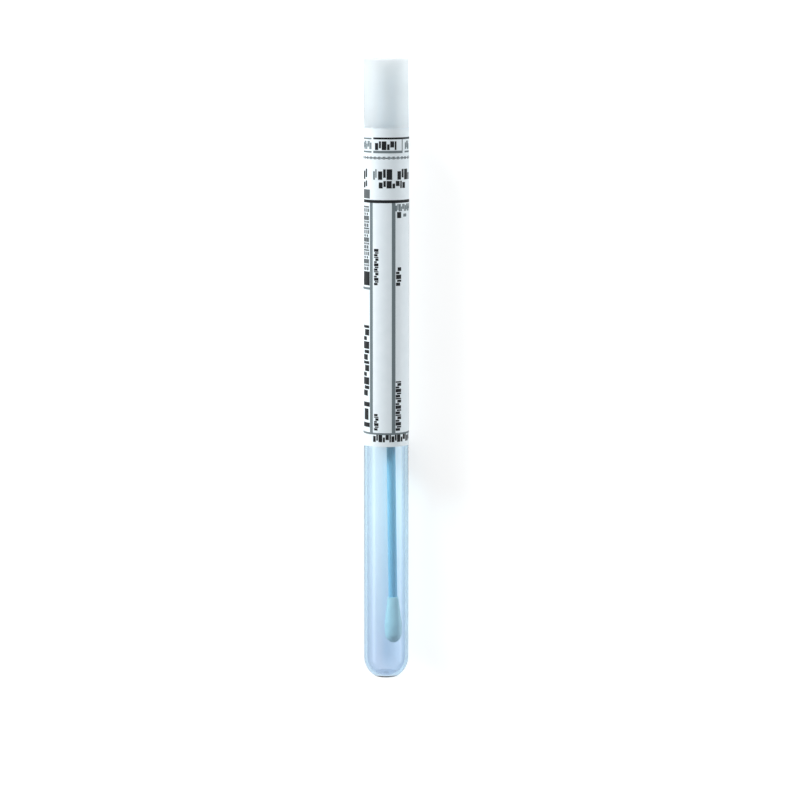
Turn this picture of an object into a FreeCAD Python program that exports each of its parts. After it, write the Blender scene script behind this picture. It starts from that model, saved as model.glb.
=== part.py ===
import FreeCAD, Part
import math
import os

import Sketcher

# A dry specimen swab in its transport tube.
#
# The tube lies on its side: its axis runs along Y, the round bottom towards -Y and the cap
# towards +Y. The floor is the plane Z = 0, and the origin is on it, below the middle of the
# whole length. The swab leans to +X, and its weight holds the paper's lapped seam to the floor
# on that side, so the tube doesn't roll. Tube, stopper and paper are half sections on their
# body's XY plane, where X is the radius and Y the height above the tube's bottom, revolved
# about Y. The stick and its bud start from the stick's seated end instead, and lean from there.

SIZES = (
    # name, size in millimetres (or degrees, where it says so), meaning
    ("tube_diameter", 12.0, "outside of the tube and of the cap's foot"),
    ("tube_length", 140.5, "bottom of the tube to its rim"),
    ("tube_wall", 0.85, "wall of the tube, and of its round bottom"),
    ("base_flat", 3.0, "radius of the flat that the round bottom ends in"),
    ("floor_wall", 0.9, "thickness of that flat"),
    ("mouth_chamfer", 0.3, "lead-in at the mouth"),
    ("gate_dimple_radius", 0.6, "dimple of the moulding gate, under the bottom"),
    ("gate_dimple_depth", 0.2, "dimple of the moulding gate, under the bottom"),
    ("gate_stub_radius", 0.25, "stub of the gate, left in its dimple"),
    ("gate_stub_height", 0.12, "stub of the gate, left in its dimple"),
    ("grip_length", 26.0, "rim of the tube to the cap's flat end"),
    ("grip_foot", 12.0, "straight stretch of the grip, where the paper sticks"),
    ("grip_taper", 0.04, "radius that the grip loses from its foot to its end"),
    ("grip_rounding", 0.5, "edge of the cap's flat end"),
    ("crown_wall", 1.2, "end wall of the cap"),
    ("plug_length", 9.0, "stretch of the cap inside the tube"),
    ("plug_wall", 0.9, "wall of the plug"),
    ("plug_clearance", 0.25, "radial gap between plug and bore"),
    ("plug_chamfer", 0.35, "lead-in of the plug"),
    ("bead_clearance", 0.03, "radial gap between sealing bead and bore"),
    ("bead_width", 1.3, "sealing bead at its foot, along the plug"),
    ("bead_crest", 0.5, "sealing bead at its crest, along the plug"),
    ("bead_offset", 2.4, "rim to the middle of the first sealing bead"),
    ("bead_pitch", 3.2, "sealing bead to sealing bead"),
    ("bead_count", 2, "sealing beads"),
    ("boss_diameter", 5.2, "boss in the cap's middle, which holds the stick"),
    ("socket_roof", 4.0, "solid stretch of the boss above the stick"),
    ("web_count", 4, "webs between boss and grip"),
    ("web_thickness", 0.8, "webs between boss and grip"),
    ("web_length", 16.0, "webs between boss and grip, down from the end wall"),
    ("boss_reach", 1.5, "boss beyond the webs"),
    ("web_root", 0.3, "depth that a web and a bead start below the wall they stand on"),
    ("stick_diameter", 2.4, "swab stick"),
    ("stick_chamfer", 0.25, "both ends of the stick"),
    ("stick_lean", 0.75, "degrees that the stick leans, and taper of its socket"),
    ("stick_clearance", 0.02, "gap round the stick, in its socket and in the bud"),
    ("bud_gap", 7.88, "floor of the tube to the bud's tip"),
    ("bud_diameter", 4.8, "wound bud at its thickest"),
    ("bud_length", 12.4, "wound bud, neck to tip"),
    ("bud_cover", 2.5, "fibre beyond the end of the stick"),
    ("bud_neck_wall", 0.2, "fibre round the stick, where the bud begins"),
    ("bud_nose_inset", 0.35, "thickest radius less the radius of the round tip"),
    ("bud_nose_angle", 62.0, "degrees from the axis to where the round tip ends"),
    ("bud_nose_height", 3.3, "tip to the bud's thickest stretch"),
    ("bud_belly", 1.8, "straight stretch where the bud is thickest"),
    ("paper_thickness", 0.1, "label paper"),
    ("glue_line", 0.02, "gap between paper and plastic"),
    ("label_start", 63.5, "bottom of the tube to the label's lower edge"),
    ("strip_height", 7.8, "label above the tear line"),
    ("tear_slit", 0.1, "perforated line across the label"),
    ("overlap", 4.0, "paper that laps over itself at the seam, round the tube"),
)

doc = FreeCAD.newDocument("SpecimenSwabTube")
sheet = doc.addObject("Spreadsheet::Sheet", "Sizes")
for row, (name, size, meaning) in enumerate(SIZES, start=1):
    sheet.set(f"A{row}", name)
    sheet.set(f"B{row}", str(size))
    sheet.setAlias(f"B{row}", name)
    sheet.set(f"C{row}", meaning)
doc.recompute()

# Radii and heights that more than one piece goes by, as expressions of the sheet.
TUBE_RADIUS = "(Sizes.tube_diameter / 2)"
BORE_RADIUS = f"({TUBE_RADIUS} - Sizes.tube_wall)"
PLUG_RADIUS = f"({BORE_RADIUS} - Sizes.plug_clearance)"
BOSS_RADIUS = "(Sizes.boss_diameter / 2)"
STICK_HOLE = "(Sizes.stick_diameter / 2 + Sizes.stick_clearance)"
PAPER_INSIDE = f"({TUBE_RADIUS} + Sizes.glue_line)"
PAPER_OUTSIDE = f"({PAPER_INSIDE} + Sizes.paper_thickness)"
SEAM_OUTSIDE = f"({PAPER_OUTSIDE} + Sizes.paper_thickness)"

RIM = "Sizes.tube_length"
PLUG_END = "(Sizes.tube_length - Sizes.plug_length)"
CAP_END = "(Sizes.tube_length + Sizes.grip_length)"
CAVITY_END = f"({CAP_END} - Sizes.crown_wall)"
WEB_END = f"({CAVITY_END} - Sizes.web_length)"
BOSS_END = f"({WEB_END} - Sizes.boss_reach)"
SOCKET_END = f"({CAVITY_END} - Sizes.socket_roof)"
STICK_SEAT = f"({SOCKET_END} - Sizes.stick_clearance)"
STICK_LENGTH = f"({STICK_SEAT} - Sizes.floor_wall - Sizes.bud_gap - Sizes.bud_cover)"

TUBE_BASE_Y = f"-{CAP_END} / 2"
STICK_SEAT_Y = f"{STICK_SEAT} - {CAP_END} / 2"
AXIS_Z = PAPER_OUTSIDE

# Bearings round the tube's axis, in degrees from +X towards +Z. One layer of paper touches the
# floor straight below the axis, and so does the edge of the second layer, beside it towards +X.
SEAM_SPAN = f"(Sizes.overlap / {PAPER_INSIDE} * 180 / pi)"
SEAM_BEARING = f"(270 + acos({PAPER_OUTSIDE} / {SEAM_OUTSIDE}) / 1 deg + {SEAM_SPAN} / 2)"


def value(expression):
    """What an expression of the sheet comes to."""
    return float(sheet.evalExpression(expression))


def new_body(name, origin_y=TUBE_BASE_Y, turn_axis=None, turn=None):
    """A body whose origin lies on the tube's axis, turned if it is given an axis and degrees."""
    body = doc.addObject("PartDesign::Body", name)
    body.Label = name
    if turn_axis is not None:
        body.Placement = FreeCAD.Placement(FreeCAD.Vector(), FreeCAD.Rotation(turn_axis, value(turn)))
        body.setExpression("Placement.Rotation.Angle", turn)
    body.setExpression("Placement.Base.y", origin_y)
    body.setExpression("Placement.Base.z", AXIS_Z)
    return body


def origin_item(body, role):
    return next(item for item in body.Origin.OriginFeatures if item.Role == role)


def new_sketch(body, name, plane="XY_Plane"):
    sketch = body.newObject("Sketcher::SketchObject", name)
    sketch.AttachmentSupport = [(origin_item(body, plane), "")]
    sketch.MapMode = "FlatFace"
    return sketch


def bind(sketch, kind, name, expression, *places):
    """A named dimension that follows an expression of the sheet."""
    index = sketch.addConstraint(Sketcher.Constraint(kind, *places, value(expression)))
    sketch.renameConstraint(index, name)
    sketch.setExpression(f"Constraints.{name}", expression)


def arc_between(start, end, radius, turn):
    """The short arc of that radius from start to end. turn is "left" or "right", as one drives it."""
    half = (end - start).Length / 2
    across = FreeCAD.Vector(start.y - end.y, end.x - start.x, 0).normalize()
    reach = math.sqrt(max(radius**2 - half**2, 0.0))
    centre = (start + end) / 2 + across * (reach if turn == "left" else -reach)
    first, last = (start, end) if turn == "left" else (end, start)
    angles = [math.atan2(point.y - centre.y, point.x - centre.x) for point in (first, last)]
    return Part.ArcOfCircle(Part.Circle(centre, FreeCAD.Vector(0, 0, 1), radius), *angles)


def closed_outline(sketch, corners, arcs=None):
    """Joins named corners, each with expressions for its X and Y, by straight lines. arcs gives,
    for a corner that an arc starts from, an expression for its radius and the way it turns."""
    arcs = arcs or {}
    count = len(corners)
    points = [FreeCAD.Vector(value(x), value(y), 0) for _, x, y in corners]
    # The sketcher counts every arc anticlockwise, so one that turns right begins at its end 2.
    begins = [2 if arcs.get(name, ("", "left"))[1] == "right" else 1 for name, _, _ in corners]
    for index, (name, _, _) in enumerate(corners):
        start, end = points[index], points[(index + 1) % count]
        if name in arcs:
            radius, turn = arcs[name]
            sketch.addGeometry(arc_between(start, end, value(radius), turn))
        else:
            sketch.addGeometry(Part.LineSegment(start, end))
    for index, (name, x, y) in enumerate(corners):
        after = (index + 1) % count
        finish = 3 - begins[index]
        sketch.addConstraint(Sketcher.Constraint("Coincident", index, finish, after, begins[after]))
        bind(sketch, "DistanceX", f"{name}_x", x, -1, 1, index, begins[index])
        bind(sketch, "DistanceY", f"{name}_y", y, -1, 1, index, begins[index])
        if name in arcs:
            bind(sketch, "Radius", f"{name}_radius", arcs[name][0], index)


def revolve(body, name, corners, arcs=None, kind="PartDesign::Revolution", angle=None):
    """A half section turned about the body's Y axis: all the way round, or through an angle whose
    middle is on the section's plane."""
    sketch = new_sketch(body, f"{name}_section")
    closed_outline(sketch, corners, arcs)
    feature = body.newObject(kind, name)
    feature.Profile = sketch
    feature.ReferenceAxis = (sketch, ["V_Axis"])
    feature.Angle = 360.0
    if angle is not None:
        feature.Midplane = True
        feature.setExpression("Angle", angle)
    return feature


def make_tube():
    """The moulded tube: a round bottom cut short by a flat with its gate mark, a straight bore,
    and a lead-in at the mouth."""
    body = new_body("tube")
    round_centre = f"sqrt({TUBE_RADIUS} ^ 2 - Sizes.base_flat ^ 2)"
    floor_flat = f"sqrt({BORE_RADIUS} ^ 2 - ({round_centre} - Sizes.floor_wall) ^ 2)"
    revolve(
        body,
        "tube_wall",
        (
            ("base_middle", "0", "0"),
            ("base_edge", "Sizes.base_flat", "0"),
            ("wall_foot", TUBE_RADIUS, round_centre),
            ("rim_outside", TUBE_RADIUS, RIM),
            ("rim_inside", f"{BORE_RADIUS} + Sizes.mouth_chamfer", RIM),
            ("mouth", BORE_RADIUS, f"{RIM} - Sizes.mouth_chamfer"),
            ("bore_foot", BORE_RADIUS, round_centre),
            ("floor_edge", floor_flat, "Sizes.floor_wall"),
            ("floor_middle", "0", "Sizes.floor_wall"),
        ),
        arcs={"base_edge": (TUBE_RADIUS, "left"), "bore_foot": (BORE_RADIUS, "right")},
    )
    stub_end = "Sizes.gate_dimple_depth - Sizes.gate_stub_height"
    below = "-Sizes.gate_dimple_depth"
    revolve(
        body,
        "gate_dimple",
        (
            ("below_middle", "0", below),
            ("below_edge", "Sizes.gate_dimple_radius", below),
            ("dimple_edge", "Sizes.gate_dimple_radius", "Sizes.gate_dimple_depth"),
            ("stub_root", "Sizes.gate_stub_radius", "Sizes.gate_dimple_depth"),
            ("stub_edge", "Sizes.gate_stub_radius", stub_end),
            ("stub_middle", "0", stub_end),
        ),
        kind="PartDesign::Groove",
    )
    return body


def make_stopper():
    """The moulded cap in one piece: grip, hollow plug with sealing beads, and a webbed boss whose
    tapered socket holds the stick."""
    body = new_body("stopper")
    socket_mouth = f"{STICK_HOLE} + ({SOCKET_END} - {BOSS_END}) * tan(Sizes.stick_lean * 1 deg)"
    cavity_radius = f"({PLUG_RADIUS} - Sizes.plug_wall)"
    grip_end_radius = f"({TUBE_RADIUS} - Sizes.grip_taper)"
    revolve(
        body,
        "cap_wall",
        (
            ("socket_middle", "0", SOCKET_END),
            ("socket_corner", STICK_HOLE, SOCKET_END),
            ("socket_mouth", socket_mouth, BOSS_END),
            ("boss_end", BOSS_RADIUS, BOSS_END),
            ("boss_root", BOSS_RADIUS, CAVITY_END),
            ("cavity_corner", cavity_radius, CAVITY_END),
            ("cavity_mouth", cavity_radius, PLUG_END),
            ("plug_end", f"{PLUG_RADIUS} - Sizes.plug_chamfer", PLUG_END),
            ("plug_side", PLUG_RADIUS, f"{PLUG_END} + Sizes.plug_chamfer"),
            ("plug_root", PLUG_RADIUS, RIM),
            ("shoulder", TUBE_RADIUS, RIM),
            ("foot_end", TUBE_RADIUS, f"{RIM} + Sizes.grip_foot"),
            ("grip_end", grip_end_radius, f"{CAP_END} - Sizes.grip_rounding"),
            ("crown_edge", f"{grip_end_radius} - Sizes.grip_rounding", CAP_END),
            ("crown_middle", "0", CAP_END),
        ),
        arcs={"grip_end": ("Sizes.grip_rounding", "left")},
    )

    bead_middle = f"{RIM} - Sizes.bead_offset"
    crest_radius = f"({BORE_RADIUS} - Sizes.bead_clearance)"
    bead = revolve(
        body,
        "sealing_bead",
        (
            ("root_low", f"{PLUG_RADIUS} - Sizes.web_root", f"{bead_middle} - Sizes.bead_width / 2"),
            ("foot_low", PLUG_RADIUS, f"{bead_middle} - Sizes.bead_width / 2"),
            ("crest_low", crest_radius, f"{bead_middle} - Sizes.bead_crest / 2"),
            ("crest_high", crest_radius, f"{bead_middle} + Sizes.bead_crest / 2"),
            ("foot_high", PLUG_RADIUS, f"{bead_middle} + Sizes.bead_width / 2"),
            ("root_high", f"{PLUG_RADIUS} - Sizes.web_root", f"{bead_middle} + Sizes.bead_width / 2"),
        ),
    )
    beads = body.newObject("PartDesign::LinearPattern", "sealing_beads")
    beads.Originals = [bead]
    beads.Direction = (origin_item(body, "Y_Axis"), [""])
    beads.Reversed = True
    beads.Mode = "Spacing"
    beads.setExpression("Offset", "Sizes.bead_pitch")
    beads.setExpression("Occurrences", "Sizes.bead_count")
    body.Tip = beads

    web_high = f"{CAVITY_END} + Sizes.web_root"
    web_inside = f"{BOSS_RADIUS} - Sizes.web_root"
    web_outside = f"{cavity_radius} + Sizes.web_root"
    sketch = new_sketch(body, "web_section")
    closed_outline(
        sketch,
        (
            ("low_inside", web_inside, WEB_END),
            ("low_outside", web_outside, WEB_END),
            ("high_outside", web_outside, web_high),
            ("high_inside", web_inside, web_high),
        ),
    )
    web = body.newObject("PartDesign::Pad", "web")
    web.Profile = sketch
    web.Midplane = True
    web.setExpression("Length", "Sizes.web_thickness")
    webs = body.newObject("PartDesign::PolarPattern", "webs")
    webs.Originals = [web]
    webs.Axis = (origin_item(body, "Y_Axis"), [""])
    webs.Angle = 360.0
    webs.setExpression("Occurrences", "Sizes.web_count")
    body.Tip = webs
    return body


def make_stick():
    """The moulded stick, down from its seat in the boss, with both ends chamfered."""
    body = new_body("swab_stick", STICK_SEAT_Y, FreeCAD.Vector(0, 0, 1), "Sizes.stick_lean")
    sketch = new_sketch(body, "stick_section", "XZ_Plane")
    sketch.addGeometry(Part.Circle(FreeCAD.Vector(), FreeCAD.Vector(0, 0, 1), 1.0))
    sketch.addConstraint(Sketcher.Constraint("Coincident", 0, 3, -1, 1))
    bind(sketch, "Diameter", "stick_diameter", "Sizes.stick_diameter", 0)
    shaft = body.newObject("PartDesign::Pad", "shaft")
    shaft.Profile = sketch
    shaft.setExpression("Length", STICK_LENGTH)
    doc.recompute()
    rims = [
        f"Edge{number}"
        for number, edge in enumerate(shaft.Shape.Edges, start=1)
        if isinstance(edge.Curve, Part.Circle)
    ]
    ends = body.newObject("PartDesign::Chamfer", "shaft_ends")
    ends.Base = (shaft, rims)
    ends.setExpression("Size", "Sizes.stick_chamfer")
    return body


def make_bud():
    """The wound bud: round at its tip, thickest above it, and drawn in to the stick."""
    body = new_body("swab_bud", STICK_SEAT_Y, FreeCAD.Vector(0, 0, 1), "Sizes.stick_lean")
    radius = "Sizes.bud_diameter / 2"
    nose_radius = f"({radius} - Sizes.bud_nose_inset)"
    neck_radius = f"({STICK_HOLE} + Sizes.bud_neck_wall)"
    tip = f"(-{STICK_LENGTH} - Sizes.bud_cover)"
    belly = f"({tip} + Sizes.bud_nose_height)"
    neck = f"({tip} + Sizes.bud_length)"
    hole_end = f"-{STICK_LENGTH} - Sizes.stick_clearance"
    revolve(
        body,
        "winding",
        (
            ("tip_middle", "0", tip),
            (
                "nose_side",
                f"{nose_radius} * sin(Sizes.bud_nose_angle * 1 deg)",
                f"{tip} + {nose_radius} * (1 - cos(Sizes.bud_nose_angle * 1 deg))",
            ),
            ("belly_low", radius, belly),
            ("belly_high", radius, f"{belly} + Sizes.bud_belly"),
            ("neck_outside", neck_radius, neck),
            ("neck_inside", STICK_HOLE, neck),
            ("hole_edge", STICK_HOLE, hole_end),
            ("hole_middle", "0", hole_end),
        ),
        arcs={"tip_middle": (nose_radius, "left")},
    )
    return body


def make_paper(name, low, high):
    """A paper wrap from one height to another, lapped over itself at the seam."""
    body = new_body(name, turn_axis=FreeCAD.Vector(0, -1, 0), turn=SEAM_BEARING)
    for part, outside, angle in (("wrap", PAPER_OUTSIDE, None), ("seam", SEAM_OUTSIDE, SEAM_SPAN)):
        section = (
            ("low_inside", PAPER_INSIDE, low),
            ("low_outside", outside, low),
            ("high_outside", outside, high),
            ("high_inside", PAPER_INSIDE, high),
        )
        revolve(body, f"{name}_{part}", section, angle=angle)
    return body


LABEL_TOP = f"{RIM} - Sizes.tear_slit / 2"
STRIP_FOOT = f"{RIM} + Sizes.tear_slit / 2"
STRIP_TOP = f"{RIM} + Sizes.strip_height"

pieces = [
    make_tube(),
    make_stopper(),
    make_stick(),
    make_bud(),
    make_paper("label", "Sizes.label_start", LABEL_TOP),
    make_paper("seal_strip", STRIP_FOOT, STRIP_TOP),
]
doc.recompute()

for item in doc.Objects:
    if "Invalid" in item.State or "Error" in item.State:
        raise RuntimeError(f"{item.Label} did not build: {item.State}")
for piece in pieces:
    if piece.Shape.isNull() or not piece.Shape.isValid() or len(piece.Shape.Solids) != 1:
        raise RuntimeError(f"{piece.Label} is not one sound solid")

os.makedirs("parts", exist_ok=True)
for piece in pieces:
    piece.Shape.exportStep(f"parts/{piece.Label}.step")
    print(f"{piece.Label}: {piece.Shape.Volume:.1f} cubic millimetres")
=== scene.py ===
# %% [markdown]
# # A specimen swab in its tube
#
# The object is a dry swab for taking specimens. A round-bottomed tube of clear polypropylene is
# closed by a milky stopper, the stopper's boss holds the stick of the swab, and a paper label is
# wrapped round the joint, so that the tube can't be opened without tearing it at its perforation.
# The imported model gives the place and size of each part. Here each one gets its finished shape
# and its material, one step at a time.

# %% Load the frame
import itertools
import math

import bmesh
import bpy
from mathutils import Matrix, Vector, noise


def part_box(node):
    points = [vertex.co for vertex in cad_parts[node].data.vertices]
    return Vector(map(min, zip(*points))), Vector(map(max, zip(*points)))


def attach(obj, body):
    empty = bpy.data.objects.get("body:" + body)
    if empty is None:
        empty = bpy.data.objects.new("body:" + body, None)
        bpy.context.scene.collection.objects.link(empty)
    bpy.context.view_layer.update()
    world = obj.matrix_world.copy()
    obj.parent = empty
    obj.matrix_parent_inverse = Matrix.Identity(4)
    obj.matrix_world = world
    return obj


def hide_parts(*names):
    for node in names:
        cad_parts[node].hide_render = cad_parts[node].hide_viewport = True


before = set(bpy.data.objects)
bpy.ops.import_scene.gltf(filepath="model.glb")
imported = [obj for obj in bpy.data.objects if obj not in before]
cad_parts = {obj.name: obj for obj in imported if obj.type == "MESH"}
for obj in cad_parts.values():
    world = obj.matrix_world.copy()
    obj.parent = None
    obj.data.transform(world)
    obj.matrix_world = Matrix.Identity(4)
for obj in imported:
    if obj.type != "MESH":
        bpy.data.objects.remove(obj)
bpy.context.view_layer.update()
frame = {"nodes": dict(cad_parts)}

print("nodes of the frame:", ", ".join(frame["nodes"]))

# %% [markdown]
# ## Places
#
# The tube lies along Y, and every height on it is measured from its bottom. Its axis and its
# bottom come from the frame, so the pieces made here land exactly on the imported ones. Sizes are
# written in millimetres, as a maker's drawing has them, and MM turns them into Blender's metres.

# %% Places and sizes taken from the frame
MM = 0.001

tube_low, tube_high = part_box("tube")
stopper_low, stopper_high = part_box("stopper")

AXIS_HEIGHT = (tube_low.z + tube_high.z) / 2
BOTTOM = Vector((0.0, tube_low.y, AXIS_HEIGHT))


def height(y):
    """The height above the tube's bottom, in millimetres, of a place along Y."""
    return (y - BOTTOM.y) / MM


TUBE_RADIUS = (tube_high.x - tube_low.x) / 2 / MM
RIM = height(tube_high.y)
CAP_END = height(stopper_high.y)
print(f"tube radius {TUBE_RADIUS:.2f} mm, rim at {RIM:.1f} mm, cap ends at {CAP_END:.1f} mm")

# %% [markdown]
# ## Drawing a half section
#
# Tube, stopper, stick and bud are all round, so each is one half section turned about its axis,
# as on a lathe. The section is drawn as with a pen: a pen is put down at a radius and a height,
# and goes on by straight lines and arcs. Extruding the pen's vertex draws a line, and spinning it
# draws an arc. That is shorter than a list of points, and its corners are truly round.

# %% The pen and the lathe
ROUND_STEPS = 128
TOUCHING = 0.001


def pen_at(bm, radius, up):
    return bm.verts.new((radius * MM, up * MM, 0.0))


def line_to(bm, pen, radius, up):
    pen = bmesh.ops.extrude_vert_indiv(bm, verts=[pen])["verts"][0]
    pen.co = (radius * MM, up * MM, 0.0)
    return pen


def arc_about(bm, pen, radius, up, degrees, steps):
    """Draws an arc round a centre. A positive angle turns left, as one drives it."""
    made = bmesh.ops.spin(
        bm,
        geom=[pen],
        cent=(radius * MM, up * MM, 0.0),
        axis=(0, 0, 1),
        angle=math.radians(degrees),
        steps=steps,
    )
    return next(item for item in made["geom_last"] if isinstance(item, bmesh.types.BMVert))


def lathe(bm, steps):
    """Turns the drawn section all the way round the Y axis and closes it."""
    section = bm.verts[:] + bm.edges[:]
    bmesh.ops.spin(bm, geom=section, axis=(0, 1, 0), angle=math.tau, steps=steps, use_merge=True)
    bmesh.ops.remove_doubles(bm, verts=bm.verts, dist=TOUCHING * MM)
    bmesh.ops.recalc_face_normals(bm, faces=bm.faces)


flatness = TUBE_RADIUS * (1 - math.cos(math.pi / ROUND_STEPS))
print(f"turned in {ROUND_STEPS} steps, the tube is round to {flatness:.4f} mm")

# %% [markdown]
# ## Finishing a piece
#
# A finished piece is smooth where it is round and crisp at its edges. It gets its material, rides
# on the body it moves with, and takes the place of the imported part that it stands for. Its object
# stays at the origin and its place is in its mesh, so that patterns which read object
# coordinates are the same on every piece.

# %% Turning a bmesh into a finished piece
CREASE = math.radians(32)


def finish_piece(name, bm, material, body, slot, *replaced):
    mesh = bpy.data.meshes.new(name)
    bm.to_mesh(mesh)
    bm.free()
    mesh.shade_smooth()
    mesh.set_sharp_from_angle(angle=CREASE)
    mesh.materials.append(material)
    piece = bpy.data.objects.new(name, mesh)
    bpy.context.scene.collection.objects.link(piece)
    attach(piece, body)
    if replaced:
        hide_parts(*replaced)
    print(f"{name}: {len(mesh.polygons)} faces, rides on {body}")


print(f"edges that turn by more than {math.degrees(CREASE):.0f} degrees stay crisp")

# %% [markdown]
# ## Mixing materials
#
# A material is a small tree of nodes. One helper adds a node, sets its settings, and fills its
# inputs with numbers or with the outputs of other nodes, so a material reads from top to bottom
# as a recipe. Colours are written as the sRGB hex values that one would pick on a screen, and are
# turned into the linear light that the renderer works in.

# %% Helpers for node trees
def srgb(code):
    """A hex colour as linear red, green, blue and alpha."""
    parts = [int(code[place:place + 2], 16) / 255 for place in (1, 3, 5)]
    linear = [c / 12.92 if c <= 0.04045 else ((c + 0.055) / 1.055) ** 2.4 for c in parts]
    return (*linear, 1.0)


def add(tree, kind, inputs=None, **settings):
    node = tree.nodes.new(kind)
    for name, setting in settings.items():
        setattr(node, name, setting)
    for name, content in (inputs or {}).items():
        if isinstance(content, bpy.types.NodeSocket):
            tree.links.new(content, node.inputs[name])
        else:
            node.inputs[name].default_value = content
    return node


def new_material(name):
    material = bpy.data.materials.new(name)
    material.use_nodes = True
    material.node_tree.nodes.clear()
    return material, material.node_tree


def per_mm(grain):
    """The noise scale at which a spot measures this many millimetres."""
    return 1 / (grain * MM)


print(f"#808080 is {srgb('#808080')[0]:.3f} in linear light, far below the half that it looks")

# %% [markdown]
# ## Clear polypropylene
#
# The tube is injection moulded in clear polypropylene. It looks a little blue. Here its surface
# also greys the tube's two sides, where one looks along the wall, which is painted shade at the
# rims, and makes it a little darker and more violet towards the bottom.
#
# What the surface adds to that comes first. The Facing of a Layer Weight node tells how slanted
# the wall is seen, and the place along the tube tells how far down it is. Each is mapped to a
# share from 0 to 1 that mixes two colours. One plain colour would make the tube look like a rod.

# %% The tube's tint
RIM_SHADE_SLANTS = 0.22, 0.8
TINTED_BOTTOM = 45.0


def wall_tint_and_rim_shade(tree, place):
    """Nearly white, darker and more violet towards the bottom, and grey where the wall is seen
    aslant, which is painted shade at the rims.
    """
    slant = add(tree, "ShaderNodeLayerWeight", {"Blend": 0.5}).outputs["Facing"]
    low, high = RIM_SHADE_SLANTS
    rim_shade = add(tree, "ShaderNodeMapRange", {"Value": slant, "From Min": low, "From Max": high})
    # a share that makes the tint darker and more violet towards the bottom, over the tube's lowest
    # part
    along = add(tree, "ShaderNodeSeparateXYZ", {0: place}).outputs["Y"]
    top = BOTTOM.y + TINTED_BOTTOM * MM
    thick = add(
        tree, "ShaderNodeMapRange", {"Value": along, "From Min": top, "From Max": BOTTOM.y}
    )
    body = add(
        tree,
        "ShaderNodeMix",
        {0: thick.outputs[0], 6: srgb("#fdfcff"), 7: srgb("#e9e8f3")},
        data_type="RGBA",
    )
    # the grey that is mixed in where the wall is seen aslant is painted shade at the rims
    return add(
        tree,
        "ShaderNodeMix",
        {0: rim_shade.outputs[0], 6: body.outputs[2], 7: srgb("#a3aec4")},
        data_type="RGBA",
    ).outputs[2]


print(f"the tint deepens over the lowest {TINTED_BOTTOM:.0f} mm of the tube")

# %% [markdown]
# ### Clear right through
#
# The wall is a closed solid with an inner face, so the light bends at both faces as in the real
# thing. Its blue comes from within: a volume that swallows red takes more of it on a longer way
# through the wall. The melt leaves long flow marks down the wall. They are noise that is squeezed
# along Y, and change the gloss and the level of the surface a little.
#
# A glass shader alone would give the tube a black shadow, because shadow rays don't bend. For them
# the surface is plainly see-through, which also lets the lamps reach the swab inside.

# %% The tube's plastic
FLOW_MARK = 0.9
FLOW_SQUEEZE = 0.025


def clear_polypropylene():
    """Clear and glossy, with flow marks about 1 mm wide and 40 times as long, as moulded."""
    material, tree = new_material("clear_polypropylene_moulded")
    place = add(tree, "ShaderNodeTexCoord").outputs["Object"]
    drawn = add(tree, "ShaderNodeMapping", {"Vector": place, "Scale": (1.0, FLOW_SQUEEZE, 1.0)})
    flow = add(
        tree, "ShaderNodeTexNoise", {"Vector": drawn.outputs[0], "Scale": per_mm(FLOW_MARK)}
    ).outputs[0]
    gloss = add(tree, "ShaderNodeMapRange", {"Value": flow, "To Min": 0.02, "To Max": 0.09})
    marks = add(tree, "ShaderNodeBump", {"Height": flow, "Distance": 0.003 * MM})
    plastic = add(
        tree,
        "ShaderNodeBsdfPrincipled",
        {
            "Base Color": wall_tint_and_rim_shade(tree, place),
            "Roughness": gloss.outputs[0],
            "IOR": 1.49,
            "Transmission Weight": 1.0,
            "Normal": marks.outputs[0],
        },
    )
    clear = add(tree, "ShaderNodeBsdfTransparent", {"Color": srgb("#feffff")})
    shadow = add(tree, "ShaderNodeLightPath").outputs["Is Shadow Ray"]
    both = add(
        tree, "ShaderNodeMixShader", {0: shadow, 1: plastic.outputs[0], 2: clear.outputs[0]}
    )
    blue = add(tree, "ShaderNodeVolumeAbsorption", {"Color": srgb("#2ae6ff"), "Density": 170.0})
    add(
        tree,
        "ShaderNodeOutputMaterial",
        {"Surface": both.outputs[0], "Volume": blue.outputs[0]},
    )
    return material


print(f"flow marks are {FLOW_MARK} mm wide and {FLOW_MARK / FLOW_SQUEEZE:.0f} mm long")

# %% [markdown]
# ## The tube
#
# The wall is 0.85 mm thick. The bottom is a hemisphere cut short by a flat, so that the gate of
# the mould has somewhere to sit: it leaves a small dimple with a stub in it. A cylinder with an
# inset end could be shaped into that, but the round bottom and the dimple are easier to draw. The
# pen starts in the middle of the stub and goes round outside up to the rim.

# %% Draw the tube's outside
BASE_FLAT = 3.0
BASE_EASE_IN, BASE_EASE_OUT, BASE_EASE_RISE = 0.25, 0.12, 0.04
ROUND_CENTRE = math.sqrt(TUBE_RADIUS**2 - BASE_FLAT**2)
DIMPLE_RADIUS, DIMPLE_DEPTH = 0.5, 0.2
STUB_RADIUS, STUB_END = 0.25, 0.08
RIM_ROUNDING = 0.2


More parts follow.
